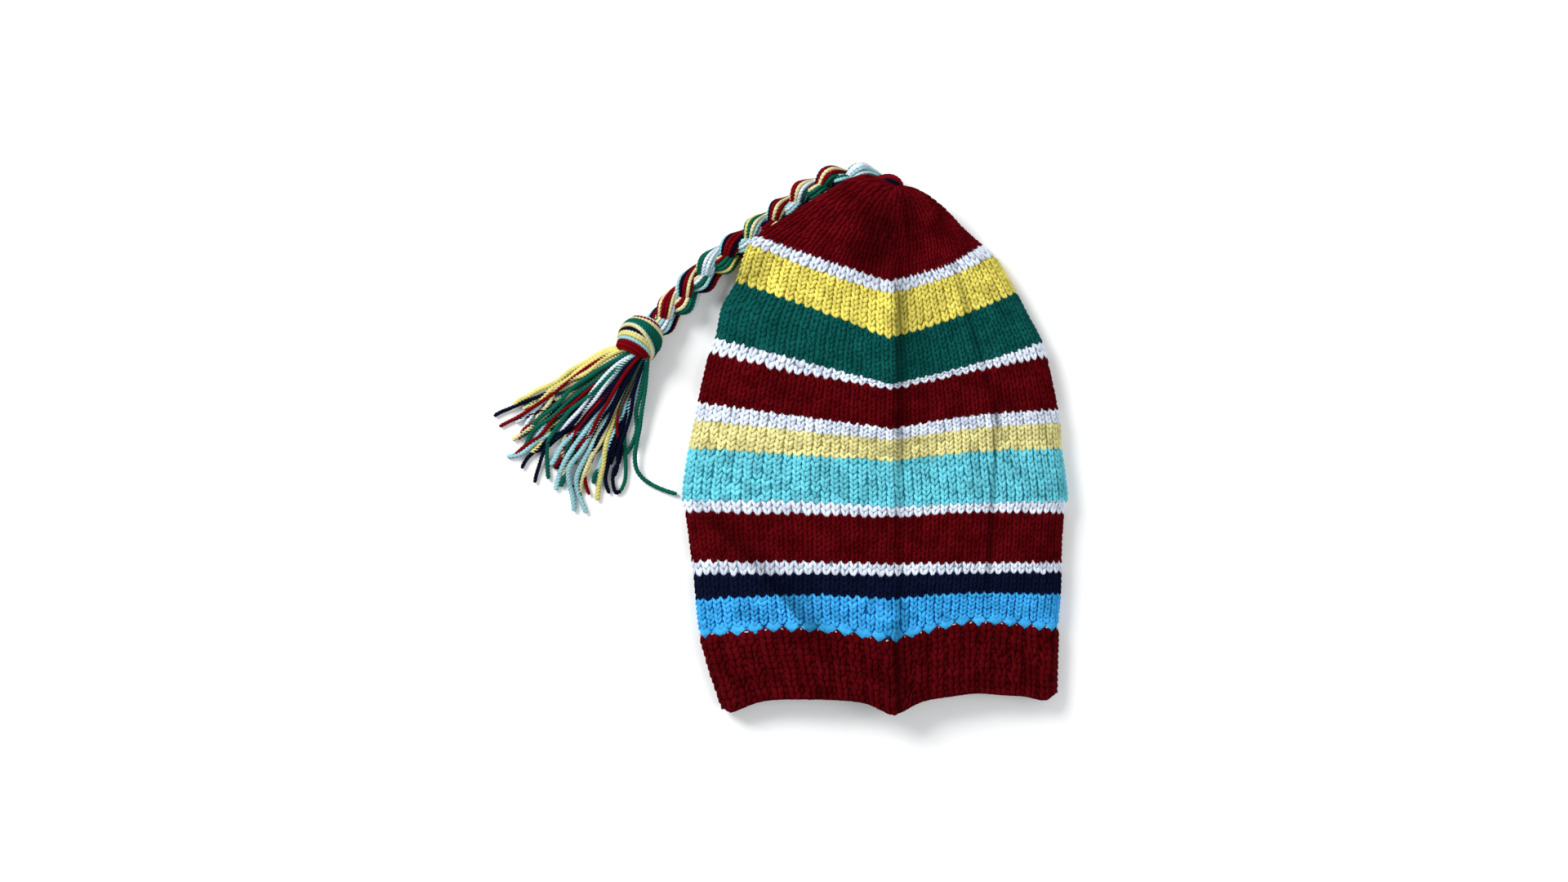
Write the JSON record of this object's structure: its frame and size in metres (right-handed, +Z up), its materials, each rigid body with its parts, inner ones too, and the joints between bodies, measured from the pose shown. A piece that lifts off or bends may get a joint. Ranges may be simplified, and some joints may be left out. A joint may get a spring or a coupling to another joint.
{
  "type": "knitted beanie",
  "caption": "Slouchy striped knitted beanie with a ribbed brim, lying flat, with a braided cord from its tip that ends in a knot and a yarn tassel.",
  "frame": {"origin": "under the middle of the hat's own bounding box, at floor level, without its braid, knot and tassel", "axes": "+X across the lying hat, the picture's right; +Y along it from brim to tip, the picture's up; +Z up from the surface that it lies on"},
  "size_m": [0.348, 0.3386, 0.0317],
  "materials": {
    "maroon_knit": "dark red worsted yarn, plain knit and rib, dull with short fuzz",
    "striped_knit": "worsted yarn in plain knit, striped in blue, navy, white, dark red, aqua, yellow and green",
    "mixed_yarn": "loose plied yarns in cream yellow, green, aqua, dark red and navy"
  },
  "bodies": {
    "root": {"ribbed_brim": "maroon_knit", "striped_body": "striped_knit", "crown": "maroon_knit", "braid": "mixed_yarn", "knot": "mixed_yarn", "tassel": "mixed_yarn"}
  },
  "joints": []
}
